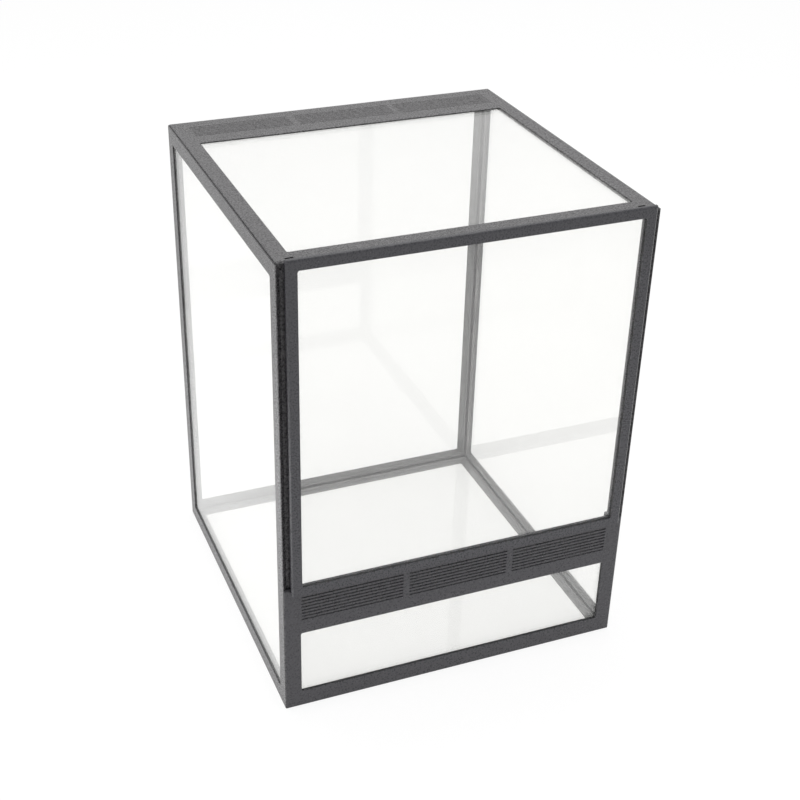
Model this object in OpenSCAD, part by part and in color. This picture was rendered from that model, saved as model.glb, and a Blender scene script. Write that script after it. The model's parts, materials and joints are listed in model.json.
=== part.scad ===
// Small box terrarium: six mitred, framed clear panels and a front door that slides up and lifts out.
// Origin: middle of the bounding box, on the floor. +Z up, the door faces -Y. Millimetres.

/* [Box] */
// Outer width of the box, left to right
box_w = 150; // [110:1:300]
// Outer depth of the box, without the proud door
box_d = 150; // [110:1:300]
// Height of the box, floor to top face
box_h = 200; // [140:1:400]

/* [Panels] */
// Thickness of every framed panel
panel_t = 3; // [2.6:0.1:4]
// Width of the frame bars on the box faces
rail_w = 7; // [6:0.1:14]
// Thickness of the lip in front of a clear pane
lip_t = 0.4; // [0.3:0.1:0.8]
// Thickness of the adhesive strip between the lip and the pane
strip_t = 0.2; // [0.1:0.1:0.6]
// Thickness of the front panel's strip, a dark line round its window
front_strip_t = 1; // [0.2:0.1:1.4]
// Width of the bar's inner edge beside a pane
land_w = 0.8; // [0.6:0.1:2]
// Corner radius of the windows in the frames
window_r = 0.6; // [0.3:0.1:2]
// Bevel on the outer edges of the box
edge_bevel = 0.6; // [0.2:0.1:0.8]
// Width of the seam along the top panel's edges
top_seam = 0.25; // [0.1:0.05:0.4]
// Depth of that seam
seam_d = 1; // [0.5:0.1:1.5]
// Play around each pane in its rebate
pane_play = 0.2; // [0.1:0.05:0.4]

/* [Front panel] */
// Height of the fixed front panel under the door
front_h = 61; // [56:1:90]
// Height of its bottom bar
front_bottom_bar = 7.9; // [7:0.1:12]
// Height of the front window's top edge above the floor
front_window_top = 38.2; // [24:0.1:60]
// Corner radius of the front window and the door window
front_window_r = 0.8; // [0.5:0.1:3]

/* [Vents] */
// Slot height in the front panel
slot_h = 0.55; // [0.4:0.05:0.9]
// Slot width in the top panel
top_slot_h = 0.35; // [0.25:0.05:0.9]
// Distance from slot to slot
slot_pitch = 1.54; // [1.3:0.01:2.2]
// Slots in each group
slot_count = 8; // [3:1:9]
// Groups side by side
vent_groups = 3; // [1:1:5]
// Bar between two groups
vent_bar = 2.7; // [2:0.1:6]
// Distance of the outer slots from the sides of the box
vent_margin = 7.4; // [6:0.1:20]
// Height of the lowest front slot's middle above the floor
front_vent_z = 45.2; // [42:0.1:70]
// Depth of the vent bar at the rear of the top panel
top_vent_bar = 26.8; // [22:0.1:40]
// Distance of the rearmost top slot's middle from the back
top_vent_back = 7.5; // [6:0.1:12]
// Wall that the slots are cut in
grille_t = 1.2; // [0.8:0.1:1.6]

/* [Door] */
// How far the door stands in front of the box
door_proud = 2.4; // [2.1:0.1:3]
// Thickness of the door's front frame
bezel_t = 1.8; // [1.5:0.1:1.9]
// Thickness of its lip in front of the adhesive strip
bezel_lip_t = 0.4; // [0.3:0.1:0.8]
// Thickness of the door's adhesive strip
door_strip_t = 0.9; // [0.3:0.1:1]
// Thickness of the door's clear pane
door_pane_t = 1; // [0.8:0.1:1.6]
// Width of the door's side bars
door_bar = 4.25; // [4:0.05:6]
// Height of the door window's lower edge above the fixed front panel
door_sill = 1.9; // [1.6:0.1:4]
// Distance of its upper edge below the top face
door_head = 2.25; // [1.9:0.05:4]
// Distance of the door's sides from the sides of the box
door_side = 2.85; // [2:0.05:3]
// How far the door laps over the fixed front panel
door_lap = 1.8; // [1:0.1:4]
// How far the pull lip rises above the top face
pull_lip = 2; // [1:0.1:6]
// Radius of the pull lip's front edge
pull_r = 1.2; // [0.5:0.1:1.3]
// Bevel on the door's side edges
door_bevel = 0.6; // [0.2:0.1:1]
// How far the door's pane reaches behind its side bars
door_rebate_w = 2; // [1:0.1:2.2]
// How far it reaches behind the top and bottom bars
door_rebate_h = 0.8; // [0.5:0.1:1]
// Setback of the top panel's front edge from the front of the box
top_setback = 1.9; // [1.9:0.1:3]
// Running clearance between the door and the box
run_gap = 0.3; // [0.2:0.05:0.4]
// How far the door lifts to come free
door_travel = 145; // [60:1:300]

/* [Door guides] */
// Distance of the keyed notch from the side of the box
notch_side = 4.65; // [4.6:0.05:6]
// Width of the keyed notch at its back
notch_w = 3.1; // [2.6:0.05:4]
// Width of the notch's mouth
notch_mouth = 1.7; // [1.4:0.05:2]
// Length of the mouth, front to back
mouth_l = 1.1; // [1.1:0.05:1.4]
// Length of the wide part behind the mouth
notch_l = 1.5; // [1.2:0.05:1.8]
// How far the upper hooks end below the top face
hook_drop = 1.8; // [0.5:0.1:3]
// Height of the upper hooks
top_hook_h = 2.4; // [2:0.1:6]
// Height of the lower hooks, which reach down behind the front panel
foot_hook_h = 4; // [3:0.5:8]
// Height of the lower hooks' necks
neck_h = 0.8; // [0.6:0.1:1]
// Thickness of the tongue under the door
tongue_t = 0.7; // [0.5:0.05:0.8]
// Depth of the groove for the tongue
groove_h = 1.6; // [1:0.1:2.5]

/* [Hidden] */
$fn = 48;
eps = 0.5;                                   // cutters run this far past a face
front_y = (door_proud - box_d) / 2;          // front plane of the box
back_y = front_y + box_d;
rebate_w = rail_w - panel_t - land_w;        // how far a pane reaches behind the lip
door_w = box_w - 2 * door_side;
door_z0 = front_h - door_lap;
door_z1 = box_h + pull_lip;
door_front = front_y - door_proud;
bezel_back = door_front + bezel_t;
carrier_back = front_y + top_setback - run_gap;
carrier_z0 = front_h + run_gap;
carrier_z1 = box_h - run_gap;
carrier_w = box_w - 2 * panel_t - 2 * run_gap;
door_pane_front = door_front + bezel_lip_t + door_strip_t;
door_pane_back = door_pane_front + door_pane_t;
door_rebate = [door_rebate_w, door_rebate_h];
door_a = [door_bar - door_w / 2, front_h + door_sill];    // corners of the door's window
door_b = [door_w / 2 - door_bar, box_h - door_head];
fin_x = notch_side + (notch_w - notch_mouth) / 2;  // the side panels' fins reach the notch's mouth
vent_len = (box_w - 2 * vent_margin - (vent_groups - 1) * vent_bar) / vent_groups;
vent_rise = (slot_count - 1) * slot_pitch;
groove_y = front_y + top_setback - run_gap - tongue_t;

black = [0.10, 0.10, 0.11];
clear = [0.90, 0.94, 0.94, 0.3];

// ---- panels, drawn flat: X across, Y up the panel, outer face at Z = 0, inner face at Z = panel_t

// kinds of panel edge: square, mitred, and mitred with a seam next to its neighbour
SQUARE = 0;
MITRE = 1;
SEAM = 2;

// outline of an edge from the inner face to the outer face, as [distance from the edge, depth]
function edge_outline(kind, b = edge_bevel, t = panel_t) =
  kind == SQUARE ? [[0, t], [0, b], [b, 0]] :
  kind == MITRE ? [[t, t], [b / 2, b / 2], [b, 0]] :
  [[t, t], [seam_d, seam_d], [seam_d + top_seam, seam_d], [b / 2 + top_seam, b / 2], [b + top_seam, 0]];

// cross-section of a panel of width w, with its two edges
function panel_section(w, first, last) = let (a = edge_outline(first), z = edge_outline(last))
  concat(a, [for (i = [len(z) - 1 : -1 : 0]) [w - z[i].x, z[i].y]]);

// slab with the edges m = [left, right, bottom, top]
module panel_slab(w, h, m) {
  intersection() {
    translate([0, h, 0]) rotate([90, 0, 0]) linear_extrude(h) polygon(panel_section(w, m[0], m[1]));
    rotate([90, 0, 90]) linear_extrude(w) polygon(panel_section(h, m[2], m[3]));
  }
}

// rectangle from a to b with rounded corners
module round_rect(a, b, r) {
  size = b - a;
  translate(a) {
    translate([r, 0]) square([size.x - 2 * r, size.y]);
    translate([0, r]) square([size.x, size.y - 2 * r]);
    for (x = [r, size.x - r], y = [r, size.y - r]) translate([x, y]) circle(r);
  }
}

// rectangle from a to b with square corners
module plain_rect(a, b) {
  translate(a) square(b - a);
}

// frame with the edges m, a window from a to b and the rebate behind it
module panel_frame(size, m, a, b, r = window_r) {
  back = [rebate_w, rebate_w];
  difference() {
    panel_slab(size.x, size.y, m);
    translate([0, 0, -eps]) linear_extrude(panel_t + 2 * eps) round_rect(a, b, r);
    translate([0, 0, lip_t]) linear_extrude(panel_t) plain_rect(a - back, b + back);
  }
}

// pane from the adhesive strip to the frame's inner face
module panel_pane(a, b, strip = strip_t) {
  edge = (rebate_w - pane_play) * [1, 1];
  seat = lip_t + strip;
  translate([0, 0, seat]) linear_extrude(panel_t - seat) plain_rect(a - edge, b + edge);
}

// flat adhesive ring that retains the pane on the lip
module panel_retainer(a, b, r = window_r, strip = strip_t) {
  edge = (rebate_w - pane_play) * [1, 1];
  translate([0, 0, lip_t]) linear_extrude(strip) difference() {
    plain_rect(a - edge, b + edge);
    round_rect(a, b, r);
  }
}

// three groups of slots whose first slot lies at y, with a pocket behind each group
module vent_cuts(y, slot) {
  pocket = slot_pitch - slot / 2;
  for (g = [0 : vent_groups - 1]) translate([vent_margin + g * (vent_len + vent_bar), y, 0]) {
    for (i = [0 : slot_count - 1])
      translate([0, i * slot_pitch - slot / 2, -eps]) cube([vent_len, slot, panel_t]);
    translate([0, -pocket, grille_t]) cube([vent_len, vent_rise + 2 * pocket, panel_t]);
  }
}

// ---- where each panel stands

module at_left() translate([-box_w / 2, front_y, 0]) rotate([90, 0, 90]) children();
module at_right() mirror([1, 0, 0]) at_left() children();
module at_back() translate([-box_w / 2, back_y, 0]) rotate([90, 0, 0]) children();
module at_front() translate([-box_w / 2, front_y, 0]) mirror([0, 1, 0]) rotate([90, 0, 0]) children();
module at_base() translate([-box_w / 2, front_y, 0]) children();
module at_top() translate([-box_w / 2, front_y + top_setback, box_h]) mirror([0, 0, 1]) children();

all_mitred = [MITRE, MITRE, MITRE, MITRE];
rail = [rail_w, rail_w];
side_size = [box_d, box_h];
back_size = [box_w, box_h];
base_size = [box_w, box_d];
top_size = [box_w, box_d - top_setback];
top_a = rail;
top_b = top_size - [rail_w, top_vent_bar];
front_a = [rail_w, front_bottom_bar];
front_b = [box_w - rail_w, front_window_top];

// beside the door a side panel has a fin that keeps the door's hooks
module side_frame() {
  panel_frame(side_size, all_mitred, rail, side_size - rail);
  translate([top_setback, front_h, top_setback])
    cube([mouth_l, box_h - front_h - panel_t, fin_x - top_setback]);
}
module side_pane() panel_pane(rail, side_size - rail);
module side_retainer() panel_retainer(rail, side_size - rail);

module left_frame() color(black) at_left() side_frame();
module left_pane() color(clear) at_left() side_pane();
module left_retainer() color(black) at_left() side_retainer();
module right_frame() color(black) at_right() side_frame();
module right_pane() color(clear) at_right() side_pane();
module right_retainer() color(black) at_right() side_retainer();

module back_frame() color(black) at_back()
  panel_frame(back_size, all_mitred, rail, back_size - rail);
module back_pane() color(clear) at_back() panel_pane(rail, back_size - rail);
module back_retainer() color(black) at_back() panel_retainer(rail, back_size - rail);

module base_frame() color(black) at_base()
  panel_frame(base_size, all_mitred, rail, base_size - rail);
module base_pane() color(clear) at_base() panel_pane(rail, base_size - rail);
module base_retainer() color(black) at_base() panel_retainer(rail, base_size - rail);

// notch in the top panel's front edge that the door's hooks pass: narrow mouth, wide back
module guide_notch() {
  mid = notch_side + notch_w / 2;
  translate([mid - notch_mouth / 2, -eps, -eps]) cube([notch_mouth, mouth_l + 2 * eps, panel_t + 2 * eps]);
  translate([mid - notch_w / 2, mouth_l, -eps]) cube([notch_w, notch_l, panel_t + 2 * eps]);
}

module top_frame() color(black) at_top() difference() {
  panel_frame(top_size, [SEAM, SEAM, SQUARE, SEAM], top_a, top_b);
  vent_cuts(top_size.y - top_vent_back - vent_rise, top_slot_h);
  guide_notch();
  translate([top_size.x, 0, 0]) mirror([1, 0, 0]) guide_notch();
}
module top_pane() color(clear) at_top() panel_pane(top_a, top_b);
module top_retainer() color(black) at_top() panel_retainer(top_a, top_b);

// room for a lower hook where the front panel is thicker than the notch's mouth reaches
module hook_relief() {
  mid = box_w / 2 - notch_side - notch_w / 2;
  h = foot_hook_h - neck_h;
  translate([mid - notch_mouth / 2, front_y + top_setback + mouth_l, front_h - h])
    cube([(notch_mouth + notch_w) / 2, panel_t, h + eps]);
}

module front_frame() color(black) difference() {
  at_front() difference() {
    panel_frame([box_w, front_h], [MITRE, MITRE, MITRE, SQUARE], front_a, front_b, front_window_r);
    vent_cuts(front_vent_z, slot_h);
  }
  // groove for the door's tongue
  translate([-carrier_w / 2 - run_gap, groove_y - run_gap, front_h - groove_h])
    cube([carrier_w + 2 * run_gap, tongue_t + 2 * run_gap, groove_h + eps]);
  hook_relief();
  mirror([1, 0, 0]) hook_relief();
}
module front_pane() color(clear) at_front() panel_pane(front_a, front_b, front_strip_t);
module front_retainer() color(black) at_front()
  panel_retainer(front_a, front_b, front_window_r, front_strip_t);

// ---- door

// block from y0 to y1 whose XZ outline is the child
module upright(y0, y1) translate([0, y1, 0]) rotate([90, 0, 0]) linear_extrude(y1 - y0) children();

module door_window() round_rect(door_a, door_b, front_window_r);

// outline that lies beyond the window by the given [width, height]
module door_opening(beyond) plain_rect(door_a - beyond, door_b + beyond);

// plan of the front frame: its front corners are bevelled
module bezel_plan() polygon([
  [-door_w / 2, bezel_back], [-door_w / 2, door_front + door_bevel], [-door_w / 2 + door_bevel, door_front],
  [door_w / 2 - door_bevel, door_front], [door_w / 2, door_front + door_bevel], [door_w / 2, bezel_back]]);

// side view of the front frame: its top edge is rounded to the front
module bezel_side() {
  translate([door_front, door_z0]) square([bezel_t, door_z1 - door_z0 - pull_r]);
  translate([door_front + pull_r, door_z0]) square([bezel_t - pull_r, door_z1 - door_z0]);
  translate([door_front + pull_r, door_z1 - pull_r]) intersection() {
    circle(pull_r);
    translate([-pull_r, 0]) square(pull_r);
  }
}

module door_bezel() color(black) difference() {
  intersection() {
    translate([0, 0, door_z0]) linear_extrude(door_z1 - door_z0) bezel_plan();
    translate([-box_w / 2, 0, 0]) rotate([90, 0, 90]) linear_extrude(box_w) bezel_side();
  }
  upright(door_front - eps, bezel_back + eps) door_window();
  upright(door_front + bezel_lip_t, bezel_back + eps) door_opening(door_rebate);
}

// adhesive ring in the rebate behind the bezel's lip
module door_retainer() color(black) difference() {
  upright(door_front + bezel_lip_t, door_pane_front) door_opening(door_rebate - pane_play * [1, 1]);
  upright(door_front, bezel_back) door_window();
}

module door_pane() color(clear)
  upright(door_pane_front, door_pane_back) door_opening(door_rebate - pane_play * [1, 1]);

// hook behind the door's right rail, turned outward: the neck spans z0 to z1, the head reaches h down from z1
module guide_hook(z0, z1, h) {
  mid = box_w / 2 - notch_side - notch_w / 2;
  neck_w = notch_mouth - 2 * run_gap;
  head_w = (neck_w + notch_w) / 2 - run_gap;
  head_y = front_y + top_setback + mouth_l + run_gap;
  translate([mid - neck_w / 2, carrier_back - eps, z0])
    cube([neck_w, head_y - carrier_back + 2 * eps, z1 - z0]);
  translate([mid - neck_w / 2, head_y, z1 - h]) cube([head_w, notch_l - 2 * run_gap, h]);
}

module door_guides() {
  guide_hook(carrier_z0, carrier_z0 + neck_h, foot_hook_h);
  guide_hook(box_h - hook_drop - top_hook_h, box_h - hook_drop, top_hook_h);
}

// rim behind the bezel, round the pane; its side rails hold the pane from behind
module door_carrier() color(black) {
  difference() {
    upright(bezel_back, carrier_back) plain_rect([-carrier_w / 2, carrier_z0], [carrier_w / 2, carrier_z1]);
    upright(bezel_back - eps, door_pane_back) door_opening(door_rebate);
    upright(bezel_back, carrier_back + eps) door_opening([0, door_rebate_h]);
  }
  door_guides();
  mirror([1, 0, 0]) door_guides();
  // tongue that drops into the fixed front panel
  translate([-carrier_w / 2, groove_y, carrier_z0 - groove_h])
    cube([carrier_w, tongue_t, groove_h + neck_h]);
}

left_frame();
left_pane();
left_retainer();
right_frame();
right_pane();
right_retainer();
back_frame();
back_pane();
back_retainer();
base_frame();
base_pane();
base_retainer();
top_frame();
top_pane();
top_retainer();
front_frame();
front_pane();
front_retainer();
door_bezel();
door_retainer();
door_pane();
door_carrier();
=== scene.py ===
import json
import math

import bmesh
import bpy
from mathutils import Matrix, Vector


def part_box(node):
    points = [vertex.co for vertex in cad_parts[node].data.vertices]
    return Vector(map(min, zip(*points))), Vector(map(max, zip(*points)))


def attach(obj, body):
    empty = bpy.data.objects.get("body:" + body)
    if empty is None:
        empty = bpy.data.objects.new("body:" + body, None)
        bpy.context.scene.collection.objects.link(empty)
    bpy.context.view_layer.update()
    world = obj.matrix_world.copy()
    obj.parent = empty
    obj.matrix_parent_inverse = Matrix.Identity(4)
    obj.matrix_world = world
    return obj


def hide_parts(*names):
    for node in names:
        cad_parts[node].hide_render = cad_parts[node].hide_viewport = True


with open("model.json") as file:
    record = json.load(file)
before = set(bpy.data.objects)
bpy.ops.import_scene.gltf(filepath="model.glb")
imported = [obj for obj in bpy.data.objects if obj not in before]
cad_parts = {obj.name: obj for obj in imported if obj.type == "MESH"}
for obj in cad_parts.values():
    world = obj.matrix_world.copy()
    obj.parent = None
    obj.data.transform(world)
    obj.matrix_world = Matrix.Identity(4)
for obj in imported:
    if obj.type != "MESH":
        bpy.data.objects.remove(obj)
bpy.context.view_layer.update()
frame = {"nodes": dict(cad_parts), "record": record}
caseNodes = frame["record"]["behaviour"]["bodies"]["case"]
doorNodes = frame["record"]["behaviour"]["bodies"]["door"]
print("frame loaded:", len(frame["nodes"]), "nodes")


# ---- camera

view = {
    "imageSize": 800,
    "filmWidth": 36.0,
    "focalPixels": 1382.9,
    "principal": (362.5, 402.2),
    "place": (-0.2000, -0.4801, 0.3972),  # metres, from the middle of the box's underside
    "azimuth": -21.134,
    "elevation": 30.554,
    "roll": 0.661,
    "nearest": 0.01,
}


def makeCamera(v):
    a, e, r = (math.radians(v[k]) for k in ("azimuth", "elevation", "roll"))
    right = Vector((math.cos(a), math.sin(a), 0))
    back = Vector((math.sin(a) * math.cos(e), -math.cos(a) * math.cos(e), math.sin(e)))
    up = back.cross(right)
    turned = math.cos(r) * right + math.sin(r) * up
    up = math.cos(r) * up - math.sin(r) * right
    camera = bpy.data.objects.new("camera", bpy.data.cameras.new("camera"))
    bpy.context.scene.collection.objects.link(camera)
    camera.matrix_world = Matrix.Translation(v["place"]) @ Matrix((turned, up, back)).transposed().to_4x4()
    camera.data.sensor_width = v["filmWidth"]
    camera.data.lens = v["focalPixels"] * v["filmWidth"] / v["imageSize"]
    camera.data.shift_x = 0.5 - v["principal"][0] / v["imageSize"]
    camera.data.shift_y = v["principal"][1] / v["imageSize"] - 0.5
    camera.data.clip_start = v["nearest"]
    bpy.context.scene.camera = camera


makeCamera(view)
bpy.context.scene.view_settings.view_transform = "Standard"
print("camera placed")


# ---- node helpers

def newMaterial(name):
    material = bpy.data.materials.new(name)
    material.use_nodes = True
    material.node_tree.nodes.clear()
    return material, material.node_tree.nodes, material.node_tree.links


def addNode(nodes, kind, place, **values):
    node = nodes.new(kind)
    node.location = place
    for key, value in values.items():
        setattr(node, key, value)
    return node


def setInputs(node, **values):
    for key, value in values.items():
        node.inputs[key.replace("_", " ")].default_value = value


def groupSocket(group, name, way, kind="NodeSocketFloat", value=None):
    socket = group.interface.new_socket(name=name, in_out=way, socket_type=kind)
    if value is not None:
        socket.default_value = value
    return socket


# ---- shared surface effects

grain = {
    "size": 0.00070,      # metres across one blotch of the moulded grain
    "fineSize": 0.00030,
    "patchSize": 0.012,   # slow change in how shiny the skin is
    "fineShare": 0.45,
    "patchShare": 0.30,
    "detail": (("size", 2.0), ("fineSize", 1.0), ("patchSize", 3.0)),
    "noiseRough": 0.6,
    "fleckRange": (0.36, 0.66),   # noise values at which a fleck starts and is full
    "depth": 0.00028,             # metres of relief at full strength
}


def buildGrain(g):
    group = bpy.data.node_groups.new("mouldedGrain", "ShaderNodeTree")
    groupSocket(group, "Vector", "INPUT", "NodeSocketVector")
    for name in ("Height", "Fleck", "Dullness"):
        groupSocket(group, name, "OUTPUT")
    nodes, links = group.nodes, group.links
    start = addNode(nodes, "NodeGroupInput", (-800, 0))
    end = addNode(nodes, "NodeGroupOutput", (600, 0))
    noises = {}
    for row, (key, detail) in enumerate(g["detail"]):
        noises[key] = addNode(nodes, "ShaderNodeTexNoise", (-500, 250 - 250 * row))
        setInputs(noises[key], Scale=1 / g[key], Detail=detail, Roughness=g["noiseRough"])
        links.new(start.outputs["Vector"], noises[key].inputs["Vector"])
    height = addNode(nodes, "ShaderNodeMath", (0, 200), operation="MULTIPLY_ADD")
    height.inputs[1].default_value = g["fineShare"]
    links.new(noises["fineSize"].outputs["Fac"], height.inputs[0])
    links.new(noises["size"].outputs["Fac"], height.inputs[2])
    fleck = addNode(nodes, "ShaderNodeMapRange", (0, 0))
    setInputs(fleck, From_Min=g["fleckRange"][0], From_Max=g["fleckRange"][1])
    links.new(noises["size"].outputs["Fac"], fleck.inputs["Value"])
    dullness = addNode(nodes, "ShaderNodeMix", (250, -200), data_type="FLOAT")
    dullness.inputs["Factor"].default_value = g["patchShare"]
    links.new(fleck.outputs["Result"], dullness.inputs["A"])
    links.new(noises["patchSize"].outputs["Fac"], dullness.inputs["B"])
    links.new(height.outputs[0], end.inputs["Height"])
    links.new(fleck.outputs["Result"], end.inputs["Fleck"])
    links.new(dullness.outputs["Result"], end.inputs["Dullness"])
    return group


grainGroup = buildGrain(grain)


# ---- materials

casePlastic = {"colour": (0.018, 0.017, 0.019), "fleckColour": (0.094, 0.091, 0.094), "rough": (0.20, 0.38),
               "relief": 1.0}
frontPlastic = {"colour": (0.024, 0.023, 0.027), "fleckColour": (0.040, 0.039, 0.044), "rough": (0.24, 0.36),
                "relief": 0.5}
doorPlastic = {"colour": (0.023, 0.023, 0.027), "fleckColour": (0.042, 0.041, 0.047), "rough": (0.22, 0.38),
               "relief": 0.6}
# the edge plastic is about three times lighter than the mouldings it borders: a painted highlight along every
# bevelled edge
edgeHighlightPlastic = {"colour": (0.060, 0.060, 0.064), "fleckColour": (0.100, 0.099, 0.102), "rough": (0.22, 0.34),
               "relief": 0.20}
plasticIor = 1.5
# the pane retainers are near-black and matte, darker than the frames: painted shade in the rebates between
# frame and pane
rebateShadeTone = {"colour": (0.010, 0.010, 0.011), "fleckColour": (0.018, 0.018, 0.019), "rough": (0.50, 0.65),
               "relief": 0.20}


def buildPlastic(name, p):
    material, nodes, links = newMaterial(name)
    place = addNode(nodes, "ShaderNodeTexCoord", (-1000, 0))
    skin = addNode(nodes, "ShaderNodeGroup", (-750, 0), node_tree=grainGroup)
    links.new(place.outputs["Object"], skin.inputs["Vector"])
    colour = addNode(nodes, "ShaderNodeMix", (-400, 200), data_type="RGBA")
    colour.inputs["A"].default_value = (*p["colour"], 1)
    colour.inputs["B"].default_value = (*p["fleckColour"], 1)
    links.new(skin.outputs["Fleck"], colour.inputs["Factor"])
    rough = addNode(nodes, "ShaderNodeMapRange", (-400, 0))
    setInputs(rough, To_Min=p["rough"][0], To_Max=p["rough"][1])
    links.new(skin.outputs["Dullness"], rough.inputs["Value"])
    bump = addNode(nodes, "ShaderNodeBump", (-400, -250))
    setInputs(bump, Strength=p["relief"], Distance=grain["depth"])
    links.new(skin.outputs["Height"], bump.inputs["Height"])
    surface = addNode(nodes, "ShaderNodeBsdfPrincipled", (0, 0))
    setInputs(surface, IOR=plasticIor)
    links.new(colour.outputs["Result"], surface.inputs["Base Color"])
    links.new(rough.outputs["Result"], surface.inputs["Roughness"])
    links.new(bump.outputs["Normal"], surface.inputs["Normal"])
    output = addNode(nodes, "ShaderNodeOutputMaterial", (300, 0))
    links.new(surface.outputs["BSDF"], output.inputs["Surface"])
    return material


# clear is the share that lets light through, and shadow the tint of the light that passes in shadows
clearSheet = {"colour": (0.960, 0.960, 0.951), "ior": 1.49, "rough": 0.0, "clear": 0.955,
              "shadow": (0.95, 0.95, 0.95)}


def buildClearSheet(name, p):
    material, nodes, links = newMaterial(name)
    surface = addNode(nodes, "ShaderNodeBsdfPrincipled", (-300, 0))
    setInputs(surface, Base_Color=(*p["colour"], 1), Roughness=p["rough"], IOR=p["ior"],
              Transmission_Weight=p["clear"])
    through = addNode(nodes, "ShaderNodeBsdfTransparent", (-300, -350))
    through.inputs["Color"].default_value = (*p["shadow"], 1)
    rays = addNode(nodes, "ShaderNodeLightPath", (-300, 350))
    mix = addNode(nodes, "ShaderNodeMixShader", (0, 0))
    links.new(rays.outputs["Is Shadow Ray"], mix.inputs["Fac"])
    links.new(surface.outputs["BSDF"], mix.inputs[1])
    links.new(through.outputs["BSDF"], mix.inputs[2])
    output = addNode(nodes, "ShaderNodeOutputMaterial", (300, 0))
    links.new(mix.outputs["Shader"], output.inputs["Surface"])
    return material


caseMaterial = buildPlastic("caseMoulding", casePlastic)
frontMaterial = buildPlastic("frontMoulding", frontPlastic)
doorMaterial = buildPlastic("doorMoulding", doorPlastic)
edgeHighlightMaterial = buildPlastic("mouldingEdge", edgeHighlightPlastic)
rebateShadeMaterial = buildPlastic("adhesiveStrip", rebateShadeTone)
sheetMaterial = buildClearSheet("clearSheet", clearSheet)
print("materials built")


# ---- frames with softened edges and a painted highlight on the bevels

# the bevel faces take the second material slot, which holds the lighter plastic with the painted edge
# highlight
softEdge = {"width": 0.00013, "segments": 2, "profile": 0.5, "sharpAngle": math.radians(25),
            "flatAngle": math.radians(1), "merge": 1e-6, "edgeSlot": 1}


def softenedCopy(node, body, material, s=softEdge):
    source = frame["nodes"][node]
    mesh = source.data.copy()
    mesh.name = node + "Soft"
    piece = bpy.data.objects.new(node + "Soft", mesh)
    bpy.context.scene.collection.objects.link(piece)
    work = bmesh.new()
    work.from_mesh(mesh)
    bmesh.ops.remove_doubles(work, verts=work.verts, dist=s["merge"])
    bmesh.ops.dissolve_limit(work, angle_limit=s["flatAngle"], verts=work.verts, edges=work.edges)
    sharp = [e for e in work.edges if len(e.link_faces) == 2 and e.calc_face_angle(0) > s["sharpAngle"]]
    bmesh.ops.bevel(work, geom=sharp, offset=s["width"], offset_type="OFFSET", segments=s["segments"],
                    profile=s["profile"], affect="EDGES", clamp_overlap=True, material=s["edgeSlot"])
    bmesh.ops.recalc_face_normals(work, faces=work.faces)
    work.to_mesh(mesh)
    work.free()
    mesh.materials.clear()
    mesh.materials.append(material)
    mesh.materials.append(edgeHighlightMaterial)
    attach(piece, body)
    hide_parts(node)


# air between a pane and what it lies on, the play round it that its edges take up, and its polished edge
sheetFit = {"gap": 0.00002, "play": 0.00017, "bevel": 0.00008, "segments": 2, "profile": 0.5}


def polishedSheet(node, body, s=sheetFit):
    low, high = (Vector(corner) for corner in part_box(node))
    thin = min(range(3), key=lambda i: high[i] - low[i])
    grow = Vector([-s["gap"] if i == thin else s["play"] for i in range(3)])
    low -= grow
    high += grow
    size = high - low
    work = bmesh.new()
    bmesh.ops.create_cube(work, size=1)
    bmesh.ops.scale(work, verts=work.verts, vec=size)
    bmesh.ops.translate(work, verts=work.verts, vec=(low + high) / 2)
    bmesh.ops.bevel(work, geom=work.edges[:], offset=s["bevel"], offset_type="OFFSET", segments=s["segments"],
                    profile=s["profile"], affect="EDGES", clamp_overlap=True, material=-1)
    mesh = bpy.data.meshes.new(node + "Sheet")
    work.to_mesh(mesh)
    work.free()
    mesh.materials.append(sheetMaterial)
    piece = bpy.data.objects.new(node + "Sheet", mesh)
    bpy.context.scene.collection.objects.link(piece)
    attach(piece, body)
    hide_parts(node)


def paint(node, material):
    slots = frame["nodes"][node].material_slots
    if not slots:
        frame["nodes"][node].data.materials.append(material)
    for each in frame["nodes"][node].material_slots:
        each.material = material


for node in caseNodes + doorNodes:
    body = "case" if node in caseNodes else "door"
    if node.endswith("_pane"):
        polishedSheet(node, body)
    elif node.endswith("_retainer"):
        # retainers take the near-black strip that paints the shade in the pane rebates
        paint(node, rebateShadeMaterial)
    elif node == "front_frame":
        softenedCopy(node, body, frontMaterial)
    elif body == "case":
        softenedCopy(node, body, caseMaterial)
    else:
        softenedCopy(node, body, doorMaterial)
print("frames and panes finished")


# ---- stage

# the shares say how much of the lit floor, with its shadow, shows in direct view and in gloss
stage = {"size": 8.0, "shade": 0.90, "shadowShare": 0.12, "glossShare": 0.30, "white": 0.995}


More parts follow.
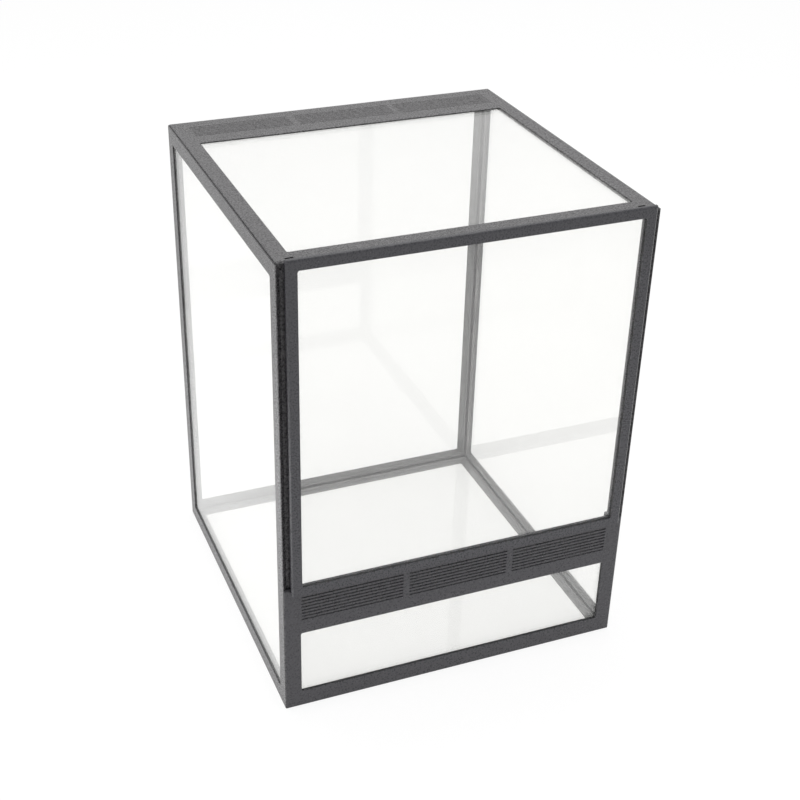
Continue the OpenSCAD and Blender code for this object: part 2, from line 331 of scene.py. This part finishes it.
def makeFloor(s):
    work = bmesh.new()
    bmesh.ops.create_grid(work, x_segments=1, y_segments=1, size=s["size"] / 2)
    mesh = bpy.data.meshes.new("floor")
    work.to_mesh(mesh)
    work.free()
    floor = bpy.data.objects.new("floor", mesh)
    bpy.context.scene.collection.objects.link(floor)
    material, nodes, links = newMaterial("paleFloor")
    matte = addNode(nodes, "ShaderNodeBsdfDiffuse", (-300, 0))
    matte.inputs["Color"].default_value = (s["shade"], s["shade"], s["shade"], 1)
    glow = addNode(nodes, "ShaderNodeEmission", (-300, -200))
    glow.inputs["Color"].default_value = (s["white"], s["white"], s["white"], 1)
    rays, seen = seenRays(nodes, links, (-1100, 300))
    plain = addNode(nodes, "ShaderNodeMath", (-500, 250), operation="MULTIPLY")
    plain.inputs[1].default_value = 1 - s["shadowShare"]
    links.new(seen, plain.inputs[0])
    share = addNode(nodes, "ShaderNodeMath", (-300, 250), operation="MULTIPLY_ADD")
    share.inputs[1].default_value = s["shadowShare"] - s["glossShare"]
    links.new(rays.outputs["Is Glossy Ray"], share.inputs[0])
    links.new(plain.outputs[0], share.inputs[2])
    mix = addNode(nodes, "ShaderNodeMixShader", (0, 0))
    links.new(share.outputs[0], mix.inputs["Fac"])
    links.new(matte.outputs["BSDF"], mix.inputs[1])
    links.new(glow.outputs["Emission"], mix.inputs[2])
    output = addNode(nodes, "ShaderNodeOutputMaterial", (300, 0))
    links.new(mix.outputs["Shader"], output.inputs["Surface"])
    mesh.materials.append(material)


def seenRays(nodes, links, place):
    rays = addNode(nodes, "ShaderNodeLightPath", place)
    first = addNode(nodes, "ShaderNodeMath", (place[0] + 200, place[1]), operation="MAXIMUM")
    links.new(rays.outputs["Is Camera Ray"], first.inputs[0])
    links.new(rays.outputs["Is Glossy Ray"], first.inputs[1])
    second = addNode(nodes, "ShaderNodeMath", (place[0] + 400, place[1]), operation="MAXIMUM")
    links.new(first.outputs[0], second.inputs[0])
    links.new(rays.outputs["Is Transmission Ray"], second.inputs[1])
    return rays, second.outputs[0]


# reflections find white walls up to the horizon height and a dimmer ceiling above
worldLight = {"seen": 1.0, "ceiling": 0.35, "horizon": 0.15, "fill": 0.85, "colour": (1.0, 1.0, 1.0)}


def makeWorld(w):
    world = bpy.data.worlds.new("studio")
    world.use_nodes = True
    nodes, links = world.node_tree.nodes, world.node_tree.links
    nodes.clear()
    rays, seen = seenRays(nodes, links, (-800, 0))
    direction = addNode(nodes, "ShaderNodeTexCoord", (-1000, -250))
    split = addNode(nodes, "ShaderNodeSeparateXYZ", (-800, -250))
    links.new(direction.outputs["Generated"], split.inputs["Vector"])
    dome = addNode(nodes, "ShaderNodeMapRange", (-600, -250))
    setInputs(dome, From_Min=w["horizon"], From_Max=1.0, To_Min=w["seen"], To_Max=w["ceiling"])
    links.new(split.outputs["Z"], dome.inputs["Value"])
    strength = addNode(nodes, "ShaderNodeMix", (-200, 0), data_type="FLOAT")
    strength.inputs["A"].default_value = w["fill"]
    links.new(seen, strength.inputs["Factor"])
    links.new(dome.outputs["Result"], strength.inputs["B"])
    background = addNode(nodes, "ShaderNodeBackground", (0, 0))
    background.inputs["Color"].default_value = (*w["colour"], 1)
    links.new(strength.outputs["Result"], background.inputs["Strength"])
    output = addNode(nodes, "ShaderNodeOutputWorld", (200, 0))
    links.new(background.outputs["Background"], output.inputs["Surface"])
    bpy.context.scene.world = world


# a lamp that isn't mirrored stays out of reflections: the front one would show in the door's pane
lamps = {
    "overhead": {"place": (0.0, 0.15, 0.95), "aim": (0, 0, 0.1), "size": (1.1, 1.1),
                 "radiance": 2.0, "mirrored": True},
    "leftFoot": {"place": (-0.19, 0.01, 0.018), "aim": (-0.075, 0.01, 0.01), "size": (0.26, 0.03),
                 "radiance": 8.0, "mirrored": True},
    "frontFoot": {"place": (0.03, -0.22, 0.045), "aim": (0.03, -0.075, 0.04), "size": (0.20, 0.06),
                  "radiance": 1.3, "mirrored": False},
}


def makeLamp(name, p):
    light = bpy.data.lights.new(name, "AREA")
    light.shape = "RECTANGLE"
    light.size, light.size_y = p["size"]
    light.energy = p["radiance"] * math.pi * light.size * light.size_y
    lamp = bpy.data.objects.new(name, light)
    bpy.context.scene.collection.objects.link(lamp)
    aim = Vector(p["place"]) - Vector(p["aim"])
    lamp.matrix_world = Matrix.Translation(p["place"]) @ aim.to_track_quat("Z", "Y").to_matrix().to_4x4()
    lamp.visible_camera = False
    lamp.visible_transmission = False
    lamp.visible_glossy = p["mirrored"]


makeFloor(stage)
makeWorld(worldLight)
for name, lamp in lamps.items():
    makeLamp(name, lamp)
print("stage lit")
